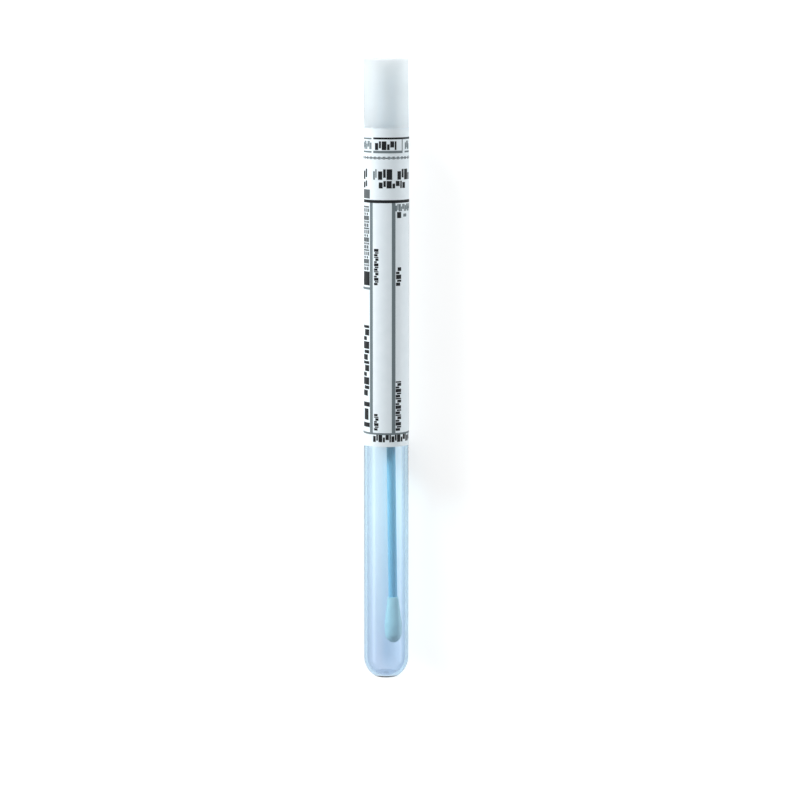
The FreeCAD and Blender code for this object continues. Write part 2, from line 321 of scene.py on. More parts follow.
def draw_tube_outside(bm):
    """From the middle of the gate's stub to the rim."""
    pen = pen_at(bm, 0.0, STUB_END)
    pen = line_to(bm, pen, STUB_RADIUS, STUB_END)
    pen = line_to(bm, pen, STUB_RADIUS, DIMPLE_DEPTH)
    pen = line_to(bm, pen, DIMPLE_RADIUS, DIMPLE_DEPTH)
    pen = arc_about(bm, pen, DIMPLE_RADIUS, 0.0, -90, 6)
    pen = line_to(bm, pen, BASE_FLAT - BASE_EASE_IN, 0.0)
    pen = line_to(bm, pen, BASE_FLAT, BASE_EASE_RISE)
    eased = BASE_FLAT + BASE_EASE_OUT
    start = math.acos(eased / TUBE_RADIUS)
    pen = line_to(bm, pen, eased, ROUND_CENTRE - TUBE_RADIUS * math.sin(start))
    pen = arc_about(bm, pen, 0.0, ROUND_CENTRE, math.degrees(start), 20)
    pen = line_to(bm, pen, TUBE_RADIUS, RIM - RIM_ROUNDING)
    return arc_about(bm, pen, TUBE_RADIUS - RIM_ROUNDING, RIM - RIM_ROUNDING, 90, 5)


print(f"the round bottom's centre is {ROUND_CENTRE:.2f} mm above the flat")

# %% [markdown]
# ### Back down inside
#
# The section goes on over the lead-in that the mouth has for the stopper, down the bore, and to the
# middle of the floor. A Solidify modifier would give one thickness everywhere. Drawn one by one,
# the wall, the floor and the lead-in can differ. Then the section is turned on the lathe.

# %% Make the tube
WALL = 0.85
FLOOR_WALL = 0.9
LEAD_IN = 0.3
BORE_RADIUS = TUBE_RADIUS - WALL


def make_tube():
    bm = bmesh.new()
    pen = draw_tube_outside(bm)
    pen = line_to(bm, pen, BORE_RADIUS + LEAD_IN, RIM)
    pen = line_to(bm, pen, BORE_RADIUS, RIM - LEAD_IN)
    pen = line_to(bm, pen, BORE_RADIUS, ROUND_CENTRE)
    inner = math.degrees(math.asin((ROUND_CENTRE - FLOOR_WALL) / BORE_RADIUS))
    pen = arc_about(bm, pen, 0.0, ROUND_CENTRE, -inner, 20)
    line_to(bm, pen, 0.0, FLOOR_WALL)
    lathe(bm, ROUND_STEPS)
    bmesh.ops.translate(bm, verts=bm.verts, vec=BOTTOM)
    finish_piece("tube_shell", bm, clear_polypropylene(), "tube", "clear_tube", "tube")


make_tube()

# %% [markdown]
# ## Milky polyethylene
#
# The stopper is moulded in polyethylene without pigment, which is milky: light enters it, is
# scattered, and leaves it somewhere else, also on the far side. So no side of it is ever dark.
# A white paint would look like chalk here, and clear glass like water.
#
# Three ways of light are mixed instead. Rough transmission lets light through without a picture
# of what is behind. Subsurface scattering spreads it over some millimetres. A quarter of
# Translucent shows the light that comes from the far side. Shadow rays go through with little
# loss, so the wall that is turned away from the lamps gets light through the near one.
#
# Its skin is satin, with the grain of a blasted mould. Real grains of under 0.1 mm are too fine to
# show, so they are drawn 0.4 mm wide.

# %% The stopper's plastic
CLOUD = 6.0
MOULD_GRAIN = 0.4
SCATTER = 4.0
GLOW_SHARE = 0.25


def milky_polyethylene():
    """Milky and satin, evenly bright all round, as light is scattered within it."""
    material, tree = new_material("milky_polyethylene_moulded")
    place = add(tree, "ShaderNodeTexCoord").outputs["Object"]
    cloud = add(tree, "ShaderNodeTexNoise", {"Vector": place, "Scale": per_mm(CLOUD)})
    colour = add(
        tree,
        "ShaderNodeMix",
        {0: cloud.outputs[0], 6: srgb("#f1f4f5"), 7: srgb("#e9edef")},
        data_type="RGBA",
    ).outputs[2]
    grain = add(
        tree, "ShaderNodeTexNoise", {"Vector": place, "Scale": per_mm(MOULD_GRAIN)}
    ).outputs[0]
    skin = add(tree, "ShaderNodeBump", {"Height": grain, "Distance": 0.008 * MM})
    gloss = add(tree, "ShaderNodeMapRange", {"Value": grain, "To Min": 0.45, "To Max": 0.55})
    plastic = add(
        tree,
        "ShaderNodeBsdfPrincipled",
        {
            "Base Color": colour,
            "Roughness": gloss.outputs[0],
            "IOR": 1.51,
            "Subsurface Weight": 0.6,
            "Subsurface Radius": (1.0, 1.0, 1.0),
            "Subsurface Scale": SCATTER * MM,
            "Transmission Weight": 0.65,
            "Specular IOR Level": 0.2,
            "Normal": skin.outputs[0],
        },
    )
    glow = add(tree, "ShaderNodeBsdfTranslucent", {"Color": colour})
    milk = add(
        tree, "ShaderNodeMixShader", {0: GLOW_SHARE, 1: plastic.outputs[0], 2: glow.outputs[0]}
    )
    clear = add(tree, "ShaderNodeBsdfTransparent", {"Color": srgb("#f6f8f9")})
    shadow = add(tree, "ShaderNodeLightPath").outputs["Is Shadow Ray"]
    both = add(tree, "ShaderNodeMixShader", {0: shadow, 1: milk.outputs[0], 2: clear.outputs[0]})
    add(tree, "ShaderNodeOutputMaterial", {"Surface": both.outputs[0]})
    return material


print(f"light spreads about {SCATTER:.0f} mm inside the stopper's plastic")

# %% [markdown]
# ## The stopper
#
# The stopper is one moulding. Outside it is a plain grip with a rounded edge. Below the rim it
# becomes a plug with two sealing beads that press into the bore. It is hollow, and in its middle
# a boss hangs from the end wall, held by four webs, with the socket for the stick. All that is
# round is one section. It is long, so it is drawn in two parts, and the inside comes first.

# %% Draw the stopper's inside
PLUG_CLEARANCE, PLUG_WALL = 0.25, 0.9
PLUG_RADIUS = BORE_RADIUS - PLUG_CLEARANCE
PLUG_END = height(stopper_low.y)
CROWN_WALL = 1.2
CAVITY_RADIUS = PLUG_RADIUS - PLUG_WALL
CAVITY_END = CAP_END - CROWN_WALL
CAVITY_ROUNDING = 0.4
BOSS_RADIUS, BOSS_LENGTH = 2.6, 17.5
BOSS_END = CAVITY_END - BOSS_LENGTH
BOSS_ROUNDING = 0.2
SOCKET_ROOF = 4.0
SOCKET_END = CAVITY_END - SOCKET_ROOF
SOCKET_TAPER = 0.167
STICK_HOLE = 1.22


def draw_stopper_inside(bm):
    """From the end of the socket over the boss and the cavity to the plug's end."""
    pen = pen_at(bm, 0.0, SOCKET_END)
    pen = line_to(bm, pen, STICK_HOLE, SOCKET_END)
    mouth = STICK_HOLE + SOCKET_TAPER
    low = BOSS_END + BOSS_ROUNDING
    pen = line_to(bm, pen, mouth, low)
    pen = arc_about(bm, pen, mouth + BOSS_ROUNDING, low, 90, 4)
    pen = line_to(bm, pen, BOSS_RADIUS - BOSS_ROUNDING, BOSS_END)
    pen = arc_about(bm, pen, BOSS_RADIUS - BOSS_ROUNDING, low, 90, 4)
    high = CAVITY_END - CAVITY_ROUNDING
    pen = line_to(bm, pen, BOSS_RADIUS, high)
    pen = arc_about(bm, pen, BOSS_RADIUS + CAVITY_ROUNDING, high, -90, 5)
    pen = line_to(bm, pen, CAVITY_RADIUS - CAVITY_ROUNDING, CAVITY_END)
    pen = arc_about(bm, pen, CAVITY_RADIUS - CAVITY_ROUNDING, high, -90, 5)
    return line_to(bm, pen, CAVITY_RADIUS, PLUG_END)


print(f"the boss is {BOSS_LENGTH} mm long, and its socket {SOCKET_END - BOSS_END:.1f} mm")

# %% [markdown]
# ### The stopper's outside
#
# The same pen goes on outwards: round the plug's end, over both beads, out along the seat that
# meets the tube's rim, and up the grip to the middle of the cap's end. A bead is a low arc. Its
# radius and its turn follow from how wide and how high it is.

# %% Draw the stopper's outside
PLUG_ROUNDING = 0.35
BEADS_BELOW_RIM = 5.6, 2.4
BEAD_HALF = 0.65
BEAD_HEIGHT = 0.22
BEAD_RADIUS = (BEAD_HALF**2 + BEAD_HEIGHT**2) / (2 * BEAD_HEIGHT)
BEAD_TURN = 2 * math.degrees(math.asin(BEAD_HALF / BEAD_RADIUS))
SEAT_ROUNDING = 0.12
GRIP_STRAIGHT, GRIP_TAPER = 12.0, 0.04
GRIP_END_RADIUS = TUBE_RADIUS - GRIP_TAPER
CROWN_ROUNDING = 0.5


def draw_stopper_outside(bm, pen):
    """From the plug's end over the beads and the seat to the middle of the cap's end."""
    pen = line_to(bm, pen, PLUG_RADIUS - PLUG_ROUNDING, PLUG_END)
    pen = arc_about(bm, pen, PLUG_RADIUS - PLUG_ROUNDING, PLUG_END + PLUG_ROUNDING, 90, 6)
    for below_rim in BEADS_BELOW_RIM:
        middle = RIM - below_rim
        pen = line_to(bm, pen, PLUG_RADIUS, middle - BEAD_HALF)
        centre = PLUG_RADIUS + BEAD_HEIGHT - BEAD_RADIUS
        pen = arc_about(bm, pen, centre, middle, BEAD_TURN, 12)
    pen = line_to(bm, pen, PLUG_RADIUS, RIM)
    pen = line_to(bm, pen, TUBE_RADIUS - SEAT_ROUNDING, RIM)
    pen = arc_about(bm, pen, TUBE_RADIUS - SEAT_ROUNDING, RIM + SEAT_ROUNDING, 90, 4)
    pen = line_to(bm, pen, TUBE_RADIUS, RIM + GRIP_STRAIGHT)
    crown = CAP_END - CROWN_ROUNDING
    pen = line_to(bm, pen, GRIP_END_RADIUS, crown)
    pen = arc_about(bm, pen, GRIP_END_RADIUS - CROWN_ROUNDING, crown, 90, 8)
    line_to(bm, pen, 0.0, CAP_END)


print(f"each bead is an arc of {BEAD_TURN:.0f} degrees, {BEAD_HEIGHT} mm high")

# %% [markdown]
# ### The webs
#
# The webs aren't round, so the lathe can't make them. A cube is stretched into a thin box between
# boss and wall, and this is done four times, a quarter turn apart. The ends of each box stand in
# the walls by 0.3 mm, which doesn't show and saves cutting one mesh with another.

# %% Make the stopper
WEB_THICKNESS = 0.8
WEB_LENGTH = 16.0
WEB_ROOT = 0.3


def add_webs(bm):
    """Four webs, each a box from the boss to the wall, turned by a quarter about the axis."""
    inside, outside = BOSS_RADIUS - WEB_ROOT, CAVITY_RADIUS + WEB_ROOT
    low, high = CAVITY_END - WEB_LENGTH, CAVITY_END + WEB_ROOT
    size = Vector((outside - inside, high - low, WEB_THICKNESS)) * MM
    middle = Vector(((inside + outside) / 2, (low + high) / 2, 0.0)) * MM
    for quarter in range(4):
        box = Matrix.Translation(middle) @ Matrix.Diagonal(size).to_4x4()
        turned = Matrix.Rotation(quarter * math.pi / 2, 4, "Y") @ box
        bmesh.ops.create_cube(bm, size=1.0, matrix=turned)


def make_stopper():
    bm = bmesh.new()
    draw_stopper_outside(bm, draw_stopper_inside(bm))
    lathe(bm, ROUND_STEPS)
    add_webs(bm)
    bmesh.ops.translate(bm, verts=bm.verts, vec=BOTTOM)
    finish_piece("stopper_moulding", bm, milky_polyethylene(), "swab", "milky_cap", "stopper")


make_stopper()

# %% [markdown]
# ## Blue polystyrene
#
# The stick is moulded in blue polystyrene. The melt runs from one end to the other, so its pigment
# lies in fine streaks along it, and its skin has the sheen of an eggshell. A little subsurface
# scattering keeps so thin a stick from looking painted. The streaks are noise that is squeezed
# along Y, which makes a spot of 0.35 mm about thirty times as long as it is wide.

# %% The stick's plastic
STREAK = 0.35
STREAK_SQUEEZE = 0.033


def blue_polystyrene():
    """Pale blue and half glossy, with faint lengthwise streaks, as moulded."""
    material, tree = new_material("blue_polystyrene_moulded")
    place = add(tree, "ShaderNodeTexCoord").outputs["Object"]
    drawn = add(tree, "ShaderNodeMapping", {"Vector": place, "Scale": (1.0, STREAK_SQUEEZE, 1.0)})
    streak = add(
        tree, "ShaderNodeTexNoise", {"Vector": drawn.outputs[0], "Scale": per_mm(STREAK)}
    ).outputs[0]
    colour = add(
        tree,
        "ShaderNodeMix",
        {0: streak, 6: srgb("#a8e4ff"), 7: srgb("#9adafa")},
        data_type="RGBA",
    )
    marks = add(tree, "ShaderNodeBump", {"Height": streak, "Distance": 0.01 * MM})
    gloss = add(tree, "ShaderNodeMapRange", {"Value": streak, "To Min": 0.25, "To Max": 0.4})
    plastic = add(
        tree,
        "ShaderNodeBsdfPrincipled",
        {
            "Base Color": colour.outputs[2],
            "Roughness": gloss.outputs[0],
            "IOR": 1.59,
            "Subsurface Weight": 0.2,
            "Subsurface Radius": (0.6, 0.9, 1.0),
            "Subsurface Scale": 0.6 * MM,
            "Normal": marks.outputs[0],
        },
    )
    add(tree, "ShaderNodeOutputMaterial", {"Surface": plastic.outputs[0]})
    return material


print(f"streaks are {STREAK} mm wide and {STREAK / STREAK_SQUEEZE:.0f} mm long")

# %% [markdown]
# ## The swab's stick
#
# The stick is a plain rod, 2.4 mm thick and rounded at its ends. It is pressed into the stopper's
# socket and hangs a little to one side, so the bud comes near the wall. Its length and its lean
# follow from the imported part's box. It is drawn from its seat downwards, standing straight, and
# is leant and moved to its seat at the end, which is easier than drawing it aslant.

# %% The stick's length and lean
STICK_RADIUS = 1.2
SEAT_GAP = 0.02
stick_low, stick_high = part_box("swab_stick")
STICK_LENGTH = (stick_high.y - stick_low.y) / MM
STICK_REACH = (stick_high.x - stick_low.x) / MM - 2 * STICK_RADIUS
LEAN = math.asin(STICK_REACH / STICK_LENGTH)
SEAT = Vector((0.0, BOTTOM.y + (SOCKET_END - SEAT_GAP) * MM, AXIS_HEIGHT))
print(f"stick {STICK_LENGTH:.1f} mm long, leans {math.degrees(LEAN):.2f} degrees")


def hang(bm):
    """Leans what was drawn downwards from the origin, and moves it to the stick's seat."""
    bmesh.ops.rotate(bm, verts=bm.verts, cent=(0, 0, 0), matrix=Matrix.Rotation(LEAN, 3, "Z"))
    bmesh.ops.translate(bm, verts=bm.verts, vec=SEAT)


# %% [markdown]
# ### Turning the stick
#
# The section of a rod is the pen's simplest task: out from the axis, round an edge, along the
# side, round the other edge, and back to the axis. A cylinder with bevelled ends would look the
# same. The lathe is at hand, and leaves its two ends closed.

# %% Make the stick
STICK_ROUNDING = 0.25
STICK_STEPS = 48


def make_stick():
    bm = bmesh.new()
    end = -STICK_LENGTH
    core = STICK_RADIUS - STICK_ROUNDING
    pen = pen_at(bm, 0.0, end)
    pen = line_to(bm, pen, core, end)
    pen = arc_about(bm, pen, core, end + STICK_ROUNDING, 90, 4)
    pen = line_to(bm, pen, STICK_RADIUS, -STICK_ROUNDING)
    pen = arc_about(bm, pen, core, -STICK_ROUNDING, 90, 4)
    line_to(bm, pen, 0.0, 0.0)
    lathe(bm, STICK_STEPS)
    hang(bm)
    finish_piece("swab_shaft", bm, blue_polystyrene(), "swab", "blue_stick", "swab_stick")


make_stick()

# %% [markdown]
# ## Wound viscose
#
# The bud is viscose fibre, which is white and quite matt, and shows a pale fuzz at its outline.
# Sheen gives that fuzz without any hairs. One fibre is about 0.015 mm thick, which is far too fine
# to show, so the noise draws tufts of 0.4 mm that lie along the winding, three times as long as
# they are wide.

# %% The bud's fibre
TUFT = 0.4
TUFT_SQUEEZE = 0.3


def wound_viscose():
    """White fibre, painted pale cyan for the blue light that reaches it through the tube, soft and
    matt, and a little uneven, as fibre is that was wound and not pressed.
    """
    material, tree = new_material("wound_viscose_fibre")
    place = add(tree, "ShaderNodeTexCoord").outputs["Object"]
    drawn = add(tree, "ShaderNodeMapping", {"Vector": place, "Scale": (1.0, TUFT_SQUEEZE, 1.0)})
    fibre = add(
        tree,
        "ShaderNodeTexNoise",
        {"Vector": drawn.outputs[0], "Scale": per_mm(TUFT), "Detail": 4.0},
    ).outputs[0]
    # the fibre is white; its pale cyan is painted light, the blue that reaches it through the tube
    colour = add(
        tree,
        "ShaderNodeMix",
        {0: fibre, 6: srgb("#ccf6ff"), 7: srgb("#e0ffff")},
        data_type="RGBA",
    )
    fuzz = add(tree, "ShaderNodeBump", {"Height": fibre, "Distance": 0.05 * MM})
    wad = add(
        tree,
        "ShaderNodeBsdfPrincipled",
        {
            "Base Color": colour.outputs[2],
            "Roughness": 0.9,
            "Sheen Weight": 0.2,
            "Sheen Roughness": 0.6,
            "Normal": fuzz.outputs[0],
        },
    )
    add(tree, "ShaderNodeOutputMaterial", {"Surface": wad.outputs[0]})
    return material


print(f"tufts are {TUFT} mm wide, where a fibre has about 0.015 mm")

# %% [markdown]
# ## The bud
#
# The bud is wound round the end of the stick. It is round at its tip, thickest just above it, and
# drawn in to the stick. Its half section is a quarter of an ellipse, a short straight stretch, and
# a long cone with a soft shoulder, and it comes back inside along the stick. A sphere could be
# pulled long, but it would have its thickest place in the middle. The cone is drawn in many short
# lines, because the next step needs vertices along it.

# %% Draw the bud
BUD_RADIUS = 2.33
BUD_LENGTH = 12.5
BUD_COVER = 2.1
NOSE_HEIGHT = 3.0
BELLY = 1.8
SHOULDER_RADIUS = 8.0
NECK_RADIUS = STICK_HOLE + 0.2
NECK_EDGE = 0.05
NECK_STEPS = 30
STICK_GAP = 0.02


def draw_bud(bm):
    """The bud's half section with its tip at the origin."""
    pen = pen_at(bm, 0.0, 0.0)
    pen = arc_about(bm, pen, 0.0, BUD_RADIUS, 90, 20)
    bmesh.ops.scale(bm, verts=bm.verts, vec=(1, NOSE_HEIGHT / BUD_RADIUS, 1))
    shoulder = NOSE_HEIGHT + BELLY
    pen = line_to(bm, pen, BUD_RADIUS, shoulder)
    slope = math.atan2(BUD_RADIUS - NECK_RADIUS, BUD_LENGTH - shoulder)
    centre = BUD_RADIUS - SHOULDER_RADIUS
    pen = arc_about(bm, pen, centre, shoulder, math.degrees(slope), 6)
    start, rise = pen.co.xy / MM, Vector((NECK_RADIUS, BUD_LENGTH)) - pen.co.xy / MM
    for step in range(1, NECK_STEPS + 1):
        pen = line_to(bm, pen, *(start + rise * step / NECK_STEPS))
    hole = STICK_RADIUS + STICK_GAP
    pen = line_to(bm, pen, hole, BUD_LENGTH + NECK_EDGE)
    pen = line_to(bm, pen, hole, BUD_COVER - STICK_GAP)
    line_to(bm, pen, 0.0, BUD_COVER - STICK_GAP)


print(f"the bud is {2 * BUD_RADIUS:.2f} mm thick and covers the stick's end by {BUD_COVER} mm")

# %% [markdown]
# ### Winding the bud
#
# Winding leaves low ridges that cross each other slantwise, and a wound bud is never quite round.
# A bump would not show that at the outline, so the mesh itself is pushed in and out a little: two
# sine waves that climb opposite ways make the ridges, and a slow noise makes the bud uneven.

# %% Wind the bud
WINDINGS = 9
RIDGES_ROUND = 3
RIDGE = 0.025
UNEVEN = 0.05
UNEVEN_SPOT = 2.2
HOLE_ZONE, HOLE_FROM = 1.3, 2.0
TIP_ZONE = 0.05
BUD_STEPS = 96


def wind(bm):
    """Pushes the bud's surface in and out, apart from its tip and the hole for the stick."""
    for vert in bm.verts:
        around = math.atan2(vert.co.z, vert.co.x)
        across = math.hypot(vert.co.x, vert.co.z)
        in_the_hole = across < HOLE_ZONE * MM and vert.co.y > HOLE_FROM * MM
        if in_the_hole or across < TIP_ZONE * MM:
            continue
        climb = vert.co.y / (BUD_LENGTH * MM) * math.tau * WINDINGS
        lean_left = math.sin(around * RIDGES_ROUND + climb)
        lean_right = math.sin(around * RIDGES_ROUND - climb)
        slow = noise.noise(vert.co / (UNEVEN_SPOT * MM))
        push = (RIDGE * ((lean_left + lean_right) / 2 - 0.5) + UNEVEN * slow) * MM
        vert.co.x *= 1 + push / across
        vert.co.z *= 1 + push / across


def make_bud():
    bm = bmesh.new()
    draw_bud(bm)
    lathe(bm, BUD_STEPS)
    wind(bm)
    bmesh.ops.translate(bm, verts=bm.verts, vec=(0, -(STICK_LENGTH + BUD_COVER) * MM, 0))
    hang(bm)
    finish_piece("swab_bud_winding", bm, wound_viscose(), "swab", "wound_fibre", "swab_bud")


make_bud()

# %% [markdown]
# ## Coated paper
#
# The label is white coated paper, calendered smooth, so it is matt but takes a soft shine from the
# side. Its pulp is a little cloudy, in spots of some millimetres, and its coating has a fine
# tooth. The real tooth is about 0.05 mm and wouldn't show, so it is drawn at 0.4 mm.

# %% The paper's finish
PULP_CLOUD = 2.5
TOOTH_GRAIN = 0.4


def coated_paper():
    """White, smooth and matt, and faintly cloudy, as calendered paper is."""
    material, tree = new_material("coated_label_paper")
    place = add(tree, "ShaderNodeTexCoord").outputs["Object"]
    cloud = add(
        tree, "ShaderNodeTexNoise", {"Vector": place, "Scale": per_mm(PULP_CLOUD), "Detail": 4.0}
    ).outputs[0]
    colour = add(
        tree,
        "ShaderNodeMix",
        {0: cloud, 6: srgb("#eff9ff"), 7: srgb("#e5f1f7")},
        data_type="RGBA",
    )
    grain = add(
        tree, "ShaderNodeTexNoise", {"Vector": place, "Scale": per_mm(TOOTH_GRAIN), "Detail": 4.0}
    )
    press = add(tree, "ShaderNodeBump", {"Height": grain.outputs[0], "Distance": 0.004 * MM})
    gloss = add(tree, "ShaderNodeMapRange", {"Value": cloud, "To Min": 0.32, "To Max": 0.42})
    paper = add(
        tree,
        "ShaderNodeBsdfPrincipled",
        {
            "Base Color": colour.outputs[2],
            "Roughness": gloss.outputs[0],
            "Normal": press.outputs[0],
        },
    )
    add(tree, "ShaderNodeOutputMaterial", {"Surface": paper.outputs[0]})
    return material


print(f"the paper is cloudy in spots of {PULP_CLOUD} mm")

# %% [markdown]
# ## The sheet and its lap
#
# One sheet of paper, 0.1 mm thick, is wrapped once round tube and stopper and lapped over itself.
# A perforation at the tube's rim divides it into the label, which stays on the tube, and the seal
# strip, which goes with the stopper. The free edge of the lap lies below, beside the line that the
# tube rests on, and keeps it from rolling.
#
# A plain sleeve would have no edge to see, so the sheet is laid on from that edge: a strip of the
# sheet's height is extruded again and again, each time turned a little about the axis, and drawn
# in to the lower layer where the lap ends.

# %% Lay the sheet
PAPER = 0.1
GLUE = 0.02
OVERLAP = 4.0
UNDER_RADIUS = TUBE_RADIUS + GLUE
PAPER_OUTSIDE = UNDER_RADIUS + PAPER
LAP_EDGE = 180 - math.degrees(math.acos(PAPER_OUTSIDE / (PAPER_OUTSIDE + PAPER)))
LAP_SPAN = math.degrees(OVERLAP / UNDER_RADIUS)
LAP_SLOPE = 7.0
LAP_RELIEF = 3
LAYER_GAP = 0.002
SHEET_TURN = 360 + LAP_SPAN - LAP_RELIEF
SHEET_STEPS = 132
EDGE_BAND = 0.6


def sheet_radius(bearing):
    """The radius of the sheet's inner face, at a bearing in degrees from the top towards +X."""
    lap_foot = LAP_EDGE - LAP_SPAN
    share = (bearing - (lap_foot - LAP_SLOPE)) / LAP_SLOPE
    return UNDER_RADIUS + (PAPER + LAYER_GAP) * min(max(share, 0.0), 1.0)


def lay_sheet(bm, low, high):
    """Extrudes the sheet's free edge round the axis until it has gone under its own lap."""
    heights = (low, low + EDGE_BAND, high - EDGE_BAND, high)
    chain = [bm.verts.new((0, y * MM, sheet_radius(LAP_EDGE) * MM)) for y in heights]
    edges = [bm.edges.new(pair) for pair in zip(chain, chain[1:])]
    first_turn = Matrix.Rotation(math.radians(LAP_EDGE), 3, "Y")
    bmesh.ops.rotate(bm, verts=chain, cent=(0, 0, 0), matrix=first_turn)
    turn = Matrix.Rotation(-math.radians(SHEET_TURN / SHEET_STEPS), 3, "Y")
    for step in range(SHEET_STEPS):
        before = LAP_EDGE - SHEET_TURN * step / SHEET_STEPS
        after = LAP_EDGE - SHEET_TURN * (step + 1) / SHEET_STEPS
        made = bmesh.ops.extrude_edge_only(bm, edges=edges)["geom"]
        edges = [item for item in made if isinstance(item, bmesh.types.BMEdge)]
        verts = [item for item in made if isinstance(item, bmesh.types.BMVert)]
        drawn = sheet_radius(after) / sheet_radius(before)
        bmesh.ops.rotate(bm, verts=verts, cent=(0, 0, 0), matrix=turn)
        bmesh.ops.scale(bm, verts=verts, vec=(drawn, 1, drawn))


print(f"the lap covers {LAP_SPAN:.0f} degrees, and its edge lies {LAP_EDGE:.0f} degrees round")

# %% [markdown]
# ## The two parts of the sheet
#
# Label and strip are laid in the same way, each to its own heights. Where they meet, both have the
# small teeth of a perforation: every other pair of columns of the mesh is left short there.
#
# The sheet is still a bare surface. Solidify gives it its thickness against the way that its faces
# look, so they are all turned towards the axis first. The paper then grows outwards from its glue,
# and its outer faces look outwards, as those of a solid must.

# %% Make the two parts of the sheet
STEPS_A_TOOTH = 4
TOOTH = 0.15


def cut_teeth(bm, edge_height, depth):
    """Leaves every other pair of columns short at the perforated edge."""
    rim = [vert for vert in bm.verts if abs(vert.co.y - edge_height * MM) < TOUCHING * MM]
    for place, vert in enumerate(rim):
        if place % STEPS_A_TOOTH < STEPS_A_TOOTH // 2:
            vert.co.y += depth * MM


def thicken(bm, thickness):
    """Turns every face towards the axis, and gives the sheet its thickness outwards."""
    bm.normal_update()
    outward = []
    for face in bm.faces:
        centre = face.calc_center_median()
        if face.normal.dot(Vector((centre.x, 0, centre.z))) > 0:
            outward.append(face)
    bmesh.ops.reverse_faces(bm, faces=outward)
    bmesh.ops.solidify(bm, geom=bm.faces[:], thickness=thickness * MM)


def make_sheet(name, low, high, toothed, depth, material, body, node):
    bm = bmesh.new()
    lay_sheet(bm, low, high)
    cut_teeth(bm, toothed, depth)
    thicken(bm, PAPER)
    bmesh.ops.translate(bm, verts=bm.verts, vec=BOTTOM)
    finish_piece(name, bm, material, body, "label_paper", node)


LABEL_LOW, LABEL_HIGH = (height(corner.y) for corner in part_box("label"))
STRIP_LOW, STRIP_HIGH = (height(corner.y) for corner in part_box("seal_strip"))
paper = coated_paper()
make_sheet("label_sheet", LABEL_LOW, LABEL_HIGH, LABEL_HIGH, -TOOTH, paper, "tube", "label")
make_sheet("seal_sheet", STRIP_LOW, STRIP_HIGH, STRIP_LOW, TOOTH, paper, "swab", "seal_strip")

# %% [markdown]
# ## Printing ink
#
# The label is printed in offset, in black and in greys. Offset ink is even from afar. Close to, it
# is a little patchy, where the paper took it up less, and it is duller than the paper beside it.
# One recipe serves for all the inks, with two nearly equal colours for each: black for the stamped
# lines, dim and grey for fields and frames, and pale for the dotted line.

# %% The inks
PATCH = 0.3


def printing_ink(name, dark, light):
    """Matt and nearly even, with patches of 0.3 mm, as ink that soaked into paper."""
    material, tree = new_material(name)
    place = add(tree, "ShaderNodeTexCoord").outputs["Object"]
    patch = add(
        tree, "ShaderNodeTexNoise", {"Vector": place, "Scale": per_mm(PATCH), "Detail": 3.0}
    )
    colour = add(
        tree,
        "ShaderNodeMix",
        {0: patch.outputs[0], 6: srgb(dark), 7: srgb(light)},
        data_type="RGBA",
    )
    ink = add(
        tree,
        "ShaderNodeBsdfPrincipled",
        {"Base Color": colour.outputs[2], "Roughness": 0.6, "Specular IOR Level": 0.25},
    )
    add(tree, "ShaderNodeOutputMaterial", {"Surface": ink.outputs[0]})
    return material


black = printing_ink("black_printing_ink", "#121518", "#24282b")
dim = printing_ink("dim_printing_ink", "#52595c", "#686f72")
grey = printing_ink("grey_printing_ink", "#68757a", "#7b888d")
pale = printing_ink("pale_printing_ink", "#848e92", "#969fa3")
print("inks:", ", ".join(ink.name for ink in (black, dim, grey, pale)))

# %% [markdown]
# ## Blocks of ink
#
# Names and words are left off here, and all print is made of plain blocks. Each block is a thin
# skin of ink on the paper: an edge along the tube, spun round the axis as far as the block is
# wide, and given a thickness of 0.015 mm. The print could also be part of the paper's material,
# but as pieces of their own its blocks keep sharp edges at any distance.
#
# Places are in millimetres on the flat sheet: upwards from the sheet's lower edge, and across from
# the line that lies on top.

# %% Print a block
INK = 0.015
INK_GAP = 0.001
MM_A_DEGREE = math.radians(PAPER_OUTSIDE)
DEGREES_A_STEP = 3


def block(bm, low, high, left, right):
    """One field of ink, in millimetres on the flat sheet."""
    start, end = left / MM_A_DEGREE, right / MM_A_DEGREE
    ends = [bm.verts.new((0, up * MM, (PAPER_OUTSIDE + INK_GAP) * MM)) for up in (low, high)]
    edge = bm.edges.new(ends)
    turn = Matrix.Rotation(math.radians(start), 3, "Y")
    bmesh.ops.rotate(bm, verts=ends, cent=(0, 0, 0), matrix=turn)
    bmesh.ops.spin(
        bm,
        geom=ends + [edge],
        cent=(0, 0, 0),
        axis=(0, 1, 0),
        angle=math.radians(end - start),
        steps=max(1, round((end - start) / DEGREES_A_STEP)),
    )


def finish_print(name, bm, first_height, material, body):
    thicken(bm, INK)
    bmesh.ops.translate(bm, verts=bm.verts, vec=BOTTOM + Vector((0, first_height * MM, 0)))
    finish_piece(name, bm, material, body, "label_paper")


print(f"one degree round the tube is {MM_A_DEGREE:.3f} mm of paper")

# %% [markdown]
# ### Rows of marks
#
# A line of print is a row of blocks that spell nothing. Equal blocks would look like a comb, and
# blocks drawn by chance would need a seed. So the marks differ in width, foot and head by a short
# list, which is gone through again and again and gives a row the rhythm of small print.

# %% Print a row of marks
MARK_GAP = 0.2
MARKS = (
    # width, foot and head, as shares of the row's size and height
    (1.0, 0.0, 0.8),
    (0.6, 0.2, 1.0),
    (1.3, 0.0, 1.0),
    (0.7, 0.0, 0.65),
    (1.1, 0.3, 1.0),
    (0.5, 0.0, 1.0),
)


def marks(start, end, size):
    """The marks of one line of print: start and stop along it, foot and head across it."""
    at = start
    for width, foot, head in itertools.cycle(MARKS):
        stop = at + width * size
        if stop > end:
            return
        yield at, stop, foot, head
        at = stop + MARK_GAP * size


